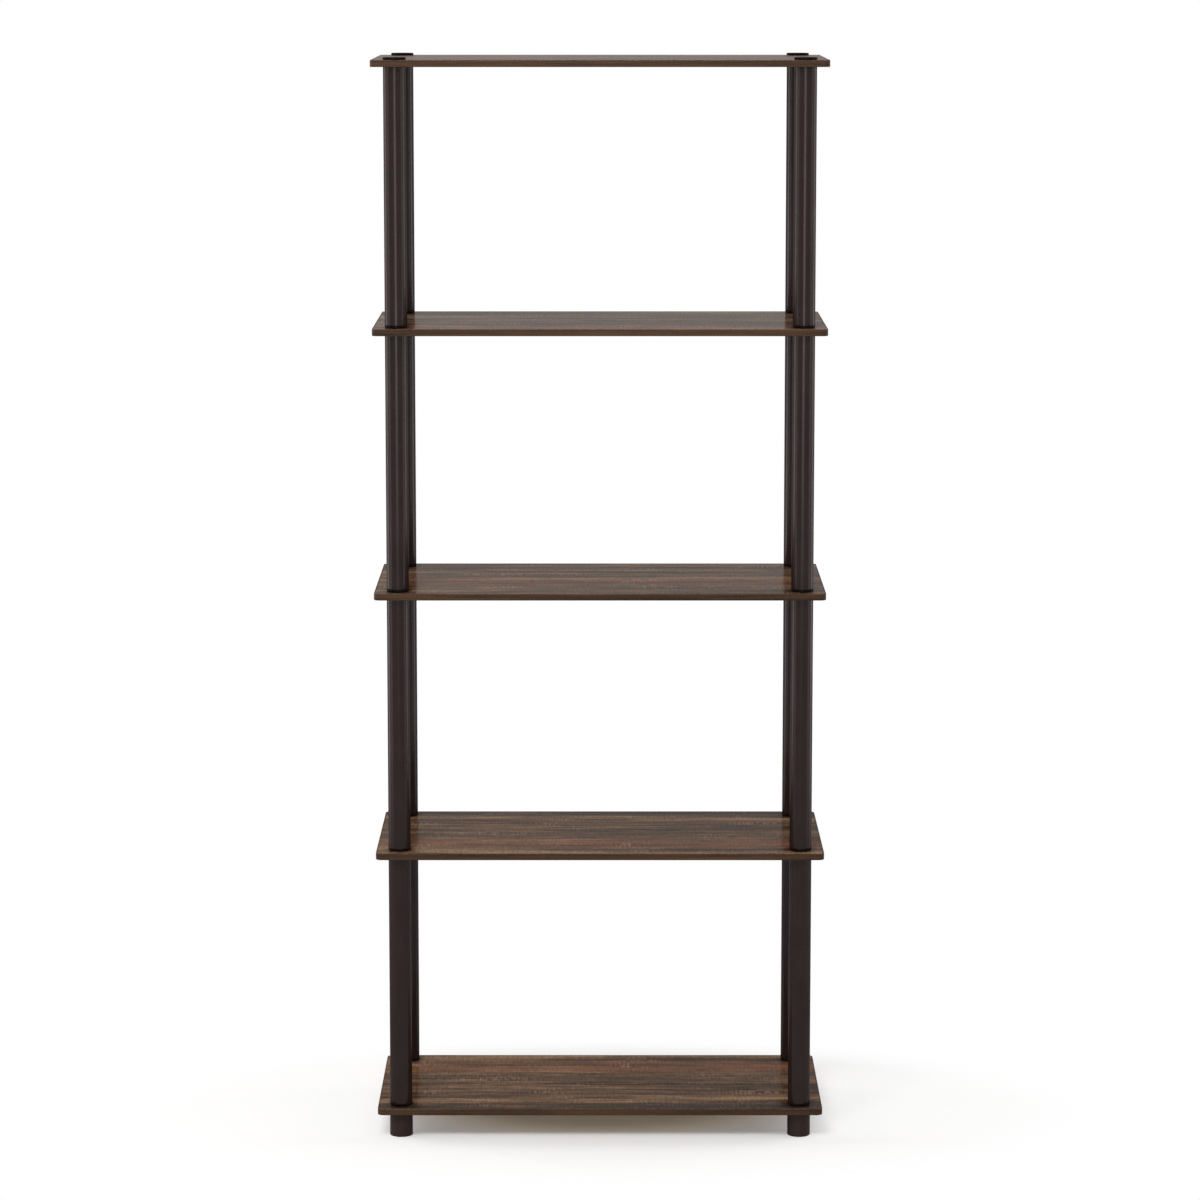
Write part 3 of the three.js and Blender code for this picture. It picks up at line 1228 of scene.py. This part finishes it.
@dataclass
class Foot(TurnedPiece):
    """A moulded foot: a cup on a closed base, with a threaded boss and webs inside."""

    closed: ClassVar[bool] = False

    wall: float = 2.0 * MM
    base: float = 3.0 * MM
    rounding: float = 1.6 * MM
    rim_easing: float = 0.4 * MM
    recess_depth: float = 0.5 * MM
    recess_radius: float = 10.5 * MM
    recess_easing: float = 0.15 * MM
    gate_radius: float = 1.6 * MM
    gate_depth: float = 0.25 * MM
    boss_wall: float = 1.6 * MM
    lead_in: float = 0.8 * MM
    thread_length: float = 17.5 * MM
    web_thickness: float = 1.6 * MM
    web_drop: float = 1.5 * MM
    web_count: int = 4

    @property
    def boss_radius(self) -> float:
        """The outside of the boss, clear of its deepest groove."""
        return self.screw.socket_crest + self.screw.depth + self.boss_wall

    def section(self) -> list[Point]:
        """Gives the cup and its boss.

        Returns:
            The points, from the middle of the underside to the middle of the floor inside.
        """
        radius, low, high = self.box.turning
        cup = radius - self.wall
        floor = low + self.base
        crest = self.screw.socket_crest
        recess = low + self.recess_depth
        thread_high = high - self.lead_in
        outside = eased(
            (0.0, recess - self.gate_depth, 0.0),
            (self.gate_radius, recess - self.gate_depth, 0.0),
            (self.gate_radius, recess, 0.0),
            (self.recess_radius, recess, 0.0),
            (self.recess_radius + self.recess_depth, low, self.recess_easing),
            (radius, low, self.rounding),
            (radius, high, self.rim_easing),
            (cup, high, self.rim_easing),
            (cup, floor, 0.0),
            (self.boss_radius, floor, 0.0),
            (self.boss_radius, high, self.rim_easing),
            (crest + self.lead_in, high, 0.0),
        )
        thread = self.screw.run(thread_high - self.thread_length, thread_high, female=True)[::-1]
        return [*outside, *thread, Point(crest, floor), Point(0.0, floor)]

    def webs(self) -> Surface:
        """Builds the webs that hold the boss to the cup.

        Returns:
            The webs, each a closed box.
        """
        radius, low, high = self.box.turning
        inner = self.boss_radius - self.boss_wall / 2
        outer = radius - self.wall / 2
        bottom = low + self.base / 2
        top = high - self.web_drop
        size = Matrix.Diagonal((outer - inner, self.web_thickness, top - bottom, 1.0))
        place = Matrix.Translation(((inner + outer) / 2, 0.0, (bottom + top) / 2))
        bm = bmesh.new()
        for web in range(self.web_count):
            spin = Matrix.Rotation(FULL_TURN * web / self.web_count, 4, "Z")
            matrix = Matrix.Translation(self.box.axis) @ spin @ place @ size
            bmesh.ops.create_cube(bm, size=1.0, matrix=matrix)
        return bm

    def surface(self) -> Surface:
        """Joins the webs to the turned cup."""
        return united(super().surface(), self.webs())


@dataclass
class TopCap(TurnedPiece):
    """A low button on a threaded shank, almost flat on top."""

    closed: ClassVar[bool] = False

    height: float = 3.0 * MM
    rounding: float = 1.0 * MM
    rim_easing: float = 0.3 * MM
    crown: float = 0.2 * MM
    crown_steps: int = 8
    thread_gap: float = 0.4 * MM

    def section(self) -> list[Point]:
        """Gives the cap.

        Returns:
            The points, from the middle of its core to the top of its crown.
        """
        radius, low, high = self.box.turning
        seat = high - self.height
        root, inner = self.screw.shank_root, self.screw.core_radius
        core = [Point(0.0, seat), Point(inner, seat), Point(inner, low), Point(root, low)]
        thread = self.screw.run(low + self.thread_gap, low + self.screw.shank_length, female=False)
        brow = high - self.crown
        flat = radius - self.rounding
        rim = eased(
            (root, seat - self.screw.neck, 0.0),
            (root, seat, 0.0),
            (radius, seat, self.rim_easing),
            (radius, brow, self.rounding),
            (flat, brow, 0.0),
        )[:-1]
        crown = []
        for step in range(1, self.crown_steps + 1):
            share = 1.0 - step / self.crown_steps
            crown.append(Point(flat * share, high - self.crown * share ** 2))
        return core + thread + held(rim + crown)


@dataclass(frozen=True)
class PrintCut:
    """Where a board or band is cut from the wood print."""

    sheet: float = 0.0
    turned_over: bool = False
    shift: float = 0.0

    def place(self, along: float, across: float) -> Triple:
        """Finds a spot's place in the print, from how far along and across the grain it lies."""
        side = -1.0 if self.turned_over else 1.0
        return (along, side * across + self.shift, self.sheet)


@dataclass
class Board(Piece):
    """A shelf's laminated board, with its four post holes."""

    cut: PrintCut
    post_axes: Sequence[Vector]
    corner_radius: float = 6.8 * MM
    hole_radius: float = 9.8 * MM
    hole_sides: int = 48
    arris: float = 0.25 * MM

    def surface(self) -> Surface:
        """Builds the board: an outline and four holes, with their edges eased.

        Returns:
            The closed surface.
        """
        box, arris = self.box, self.arris
        low, high = box.low.z, box.high.z
        levels = ((arris, low), (0.0, low + arris), (0.0, high - arris), (arris, high))
        bm = new_surface()
        rings = []
        for inset, height in levels:
            outline = rounded_outline(box, inset, self.corner_radius)
            rings.append(ring(bm, outline, height, 0.0 if inset else 1.0))
        walled(bm, rings)
        for axis in self.post_axes:
            rings = []
            for inset, height in levels:
                outline = circle(axis, self.hole_radius + inset, self.hole_sides)
                rings.append(ring(bm, outline, height, 0.0))
            walled(bm, rings)
        for height in (low, high):
            edges = [edge for edge in bm.edges if edge.is_boundary]
            rim = [edge for edge in edges if abs(edge.verts[0].co.z - height) < arris]
            bmesh.ops.triangle_fill(bm, edges=rim, use_beauty=True)
        bmesh.ops.recalc_face_normals(bm, faces=bm.faces)
        grain = bm.loops.layers.float_vector.new(GRAIN)
        for face in bm.faces:
            for loop in face.loops:
                loop[grain] = self.cut.place(loop.vert.co.x, loop.vert.co.y)
        return bm


@dataclass
class EdgeBand(Piece):
    """The plastic band round a board's edge, printed to match."""

    cut: PrintCut
    print_squeeze: float = 4.5
    thickness: float = 1.0 * MM
    easing: float = 0.6 * MM
    corner_radius: float = 8.0 * MM

    def surface(self) -> Surface:
        """Carries the band's section round the board.

        Returns:
            The closed surface.
        """
        box = self.box
        low, high = box.low.z, box.high.z
        bm = new_surface()
        section = eased(
            (self.thickness, low, 0.0),
            (0.0, low, self.easing),
            (0.0, high, self.easing),
            (self.thickness, high, 0.0),
        )
        rings = []
        for point in section:
            outline = rounded_outline(box, point.out, self.corner_radius)
            # Only the top rounding takes the wear colour. Along the upper edge it is a painted highlight
            # as well as wear, and the lower edge is left plain.
            wear_and_highlight_share = point.wear_and_highlight_share if point.height > (low + high) / 2 else 0.0
            rings.append(ring(bm, outline, point.height, wear_and_highlight_share))
        outer = rounded_outline(box, 0.0, self.corner_radius)
        along = [0.0]
        for here, after in zip(outer, outer[1:] + outer[:1]):
            along.append(along[-1] + (after - here).length)
        grain = bm.loops.layers.float_vector.new(GRAIN)
        for number, face in enumerate(walled(bm, rings, closed=True)):
            side = number % len(outer)
            for loop, end in zip(face.loops, (side, side + 1, side + 1, side)):
                loop[grain] = self.cut.place(along[end], self.print_squeeze * (loop.vert.co.z - low))
        bmesh.ops.recalc_face_normals(bm, faces=bm.faces)
        return bm


@dataclass
class Shelf:
    """One shelf: a laminated board and its edge band."""

    level: int
    post_axes: Sequence[Vector]

    board_cuts: ClassVar[tuple[PrintCut, ...]] = (
        PrintCut(sheet=0.0),
        PrintCut(sheet=0.0, turned_over=True),
        PrintCut(sheet=1.0, turned_over=True, shift=50.0 * MM),
        PrintCut(sheet=2.0, turned_over=True, shift=-40.0 * MM),
        PrintCut(sheet=3.0),
    )
    band_sheet: ClassVar[float] = 0.5
    band_shift: ClassVar[float] = -50.0 * MM

    def build(self) -> None:
        """Builds the board and the band."""
        number = self.level
        cut = self.board_cuts[number - 1]
        strip = PrintCut(sheet=number + self.band_sheet, shift=self.band_shift)
        board = Board(f"shelf_board_{number}", f"laminated_board_{number}", LAMINATE, cut, self.post_axes)
        band = EdgeBand(f"edge_band_{number}", f"printed_band_{number}", EDGE_PRINT, strip)
        board.build()
        band.build()


@dataclass
class Post:
    """One post, from the floor up: a foot, tubes joined by studs, and a cap."""

    place: PostPlace
    tiers: int

    def build(self) -> None:
        """Builds the post's pieces, from the floor up."""
        post = self.place.value
        Foot(f"foot_{post}", f"moulded_foot_{post}", FOOT_PLASTIC).build()
        for tier in range(1, self.tiers + 1):
            CouplingStud(f"stud_{tier}_{post}", f"coupling_stud_{tier}_{post}", FITTING_PLASTIC).build()
            Tube(f"tube_{tier}_{post}", f"round_tube_{tier}_{post}", TUBE_PLASTIC).build()
        TopCap(f"top_cap_{post}", f"button_cap_{post}", FITTING_PLASTIC).build()


@dataclass
class Bookcase:
    """The whole bookcase."""

    tiers: int = 4

    def build(self) -> None:
        """Builds the shelves and then the posts."""
        post_axes = [Box.of(f"foot_{place.value}").axis for place in PostPlace]
        for level in range(1, self.tiers + 2):
            Shelf(level, post_axes).build()
        for place in PostPlace:
            Post(place, self.tiers).build()


@dataclass(frozen=True)
class Lamp:
    """A softbox: an even lit rectangle that faces a point on the bookcase's middle line."""

    name: str
    place: Triple
    aim_height: float
    width: float
    height: float
    brightness: float
    tint: Triple = (1.0, 1.0, 1.0)

    def build(self) -> None:
        """Hangs the lamp. Its power follows from its brightness and its area."""
        light = bpy.data.lights.new(self.name, "AREA")
        light.shape = "RECTANGLE"
        light.size = self.width
        light.size_y = self.height
        light.color = self.tint
        light.energy = self.brightness * math.pi * self.width * self.height
        lamp = set_out(self.name, light)
        lamp.location = self.place
        aim = Vector((0.0, 0.0, self.aim_height)) - Vector(self.place)
        lamp.rotation_euler = aim.to_track_quat("-Z", "Y").to_euler()
        lamp.visible_camera = False


@dataclass(frozen=True)
class Viewpoint:
    """The camera, at the photograph's angle."""

    distance: float = 5.864
    height: float = 1.591
    tilt: float = math.radians(8.504)
    lens: float = 130.93
    sensor: float = 36.0
    clip_end: float = 200.0

    def build(self) -> None:
        """Sets up the camera."""
        camera = bpy.data.cameras.new("camera")
        camera.lens = self.lens
        camera.sensor_width = self.sensor
        camera.clip_end = self.clip_end
        holder = set_out("camera", camera)
        holder.location = (0.0, -self.distance, self.height)
        holder.rotation_euler = (math.pi / 2 - self.tilt, 0.0, 0.0)
        bpy.context.scene.camera = holder


@dataclass(frozen=True)
class Studio:
    """A white studio with a pale floor and soft lamps; round the object's shadow the floor carries painted
    light.
    """

    sky: float = 0.34
    floor_half_size: float = 14.0
    floor_drop: float = 0.1 * MM
    floor_shade: float = 0.84
    # Painted light: the floor's glow lifts the object's shadow, more towards its edges, and under the
    # shelf its warm tint is painted bounce light from the boards.
    floor_glow: Pair = (0.092, 0.175)
    glow_reach: Pair = (0.2, 0.42)
    painted_bounce_tint: Colour = (255, 228, 188)
    open_glow_tint: Colour = (255, 253, 252)
    bounce_tint_reach: Pair = (0.24, 0.56)
    shadow_shift: Triple = (0.0, -0.03, 0.0)
    shadow_scale: Triple = (1.7, 3.1, 0.0)
    shadow_reach: Pair = (0.5, 1.25)
    # Beside the object the shadow is partly covered with white, as painted light.
    side_reach: Pair = (0.25, 0.34)
    front_reach: Pair = (-0.2, -0.1)
    side_painted_light: float = 0.66
    lamps: tuple[Lamp, ...] = (
        Lamp("key_softbox", (-0.9, -3.2, 3.6), 0.8, 1.6, 1.4, 17.0),
        Lamp("front_softbox", (0.0, -4.6, 0.94), 0.94, 1.35, 1.2, 5.8, WARM),
        Lamp("left_rear_softbox", (-2.3, 0.7, 0.78), 0.78, 1.1, 1.5, 5.2, WARM),
        Lamp("left_front_softbox", (-2.3, -0.7, 0.78), 0.78, 0.9, 1.5, 2.0, WARM),
        Lamp("right_rear_softbox", (2.3, 0.7, 0.78), 0.78, 1.1, 1.5, 4.3, WARM),
        Lamp("right_front_softbox", (2.3, -0.7, 0.78), 0.78, 0.9, 1.5, 1.8, WARM),
    )

    def seen(self, tree: ShaderTree) -> Socket:
        """Tells the rays that see the background from those that light the object.

        Args:
            tree: the tree to add to.

        Returns:
            1 for a camera, glossy or transmission ray, and otherwise 0.
        """
        path = tree.add("ShaderNodeLightPath").outputs
        either = tree.maths(Step.LARGER, path["Is Camera Ray"], path["Is Glossy Ray"])
        return tree.maths(Step.LARGER, either, path["Is Transmission Ray"])

    def build_sky(self) -> None:
        """Sets a white background over an even soft light."""
        world = bpy.data.worlds.new("studio")
        world.use_nodes = True
        bpy.context.scene.world = world
        tree = ShaderTree(world.node_tree)
        light = tree.add("ShaderNodeBackground", {"Color": WHITE, "Strength": self.sky})
        white = tree.add("ShaderNodeBackground", {"Color": WHITE, "Strength": 1.0})
        shown = tree.either(self.seen(tree), light, white)
        tree.add("ShaderNodeOutputWorld", {"Surface": shown.outputs[0]})

    def build_floor(self) -> None:
        """Lays the floor, which is white to the camera away from the object's shadow."""
        size = self.floor_half_size
        bm = bmesh.new()
        corners = ((-size, -size), (size, -size), (size, size), (-size, size))
        bm.faces.new([bm.verts.new((x, y, -self.floor_drop)) for x, y in corners])
        floor = meshed("floor", bm)
        floor.data.materials.append(self.floor_material())

    def white_share(self, tree: ShaderTree, place: Socket, away: Socket) -> Socket:
        """Tells where the camera sees plain white: far off, and partly beside the object as painted light
        over its shadow.

        Args:
            tree: the floor's tree.
            place: the place on the floor, in metres.
            away: how far off the place lies, in the shadow's ovals.

        Returns:
            The share of white, from 0 to 1.
        """
        spot = tree.add("ShaderNodeSeparateXYZ", {0: place}).outputs
        side = tree.between(tree.maths(Step.ABSOLUTE, spot["X"]), *self.side_reach)
        beside = tree.product(side, tree.between(spot["Y"], *self.front_reach))
        far = tree.between(away, *self.shadow_reach)
        return tree.maths(Step.LARGER, far, tree.product(beside, self.side_painted_light))

    def floor_material(self) -> bpy.types.Material:
        """Builds the floor's material: pale with the shadow under a glow of painted light, white further
        out, partly painted white beside the object, clear from below.

        Returns:
            The material.
        """
        material = bpy.data.materials.new("pale_floor")
        material.use_nodes = True
        tree = ShaderTree(material.node_tree)
        shade = self.floor_shade
        plain = tree.add("ShaderNodeBsdfDiffuse", {"Color": (shade, shade, shade, 1.0)})
        place = tree.add("ShaderNodeTexCoord").outputs["Object"]
        away = tree.length(tree.stretched(place, self.shadow_scale, self.shadow_shift))
        # Painted light: the glow grows stronger away from the middle of the shadow, and its warm tint
        # under the shelf is painted bounce light.
        open_floor = tree.between(away, *self.bounce_tint_reach)
        tint = tree.mixed(open_floor, linear(self.painted_bounce_tint), linear(self.open_glow_tint))
        strength = tree.spread(tree.between(away, *self.glow_reach), *self.floor_glow)
        glow = tree.add("ShaderNodeEmission", {"Color": tint, "Strength": strength})
        near = tree.add("ShaderNodeAddShader", {0: plain.outputs[0], 1: glow.outputs[0]})
        white = tree.add("ShaderNodeEmission", {"Color": WHITE, "Strength": 1.0})
        shown = tree.either(self.white_share(tree, place, away), near, white)
        lit = tree.either(self.seen(tree), plain, shown)
        below = tree.add("ShaderNodeNewGeometry").outputs["Backfacing"]
        floor = tree.either(below, lit, tree.add("ShaderNodeBsdfTransparent"))
        tree.add("ShaderNodeOutputMaterial", {"Surface": floor.outputs[0]})
        return material

    def build(self) -> None:
        """Sets up the sky, the floor and the lamps."""
        self.build_sky()
        self.build_floor()
        for lamp in self.lamps:
            lamp.build()
        bpy.context.scene.view_settings.view_transform = "Standard"


def main() -> None:
    """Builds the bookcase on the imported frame, and the studio around it."""
    logging.basicConfig(level=logging.INFO, format="%(message)s")
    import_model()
    Viewpoint().build()
    Bookcase().build()
    Studio().build()


if __name__ == "__main__":
    main()
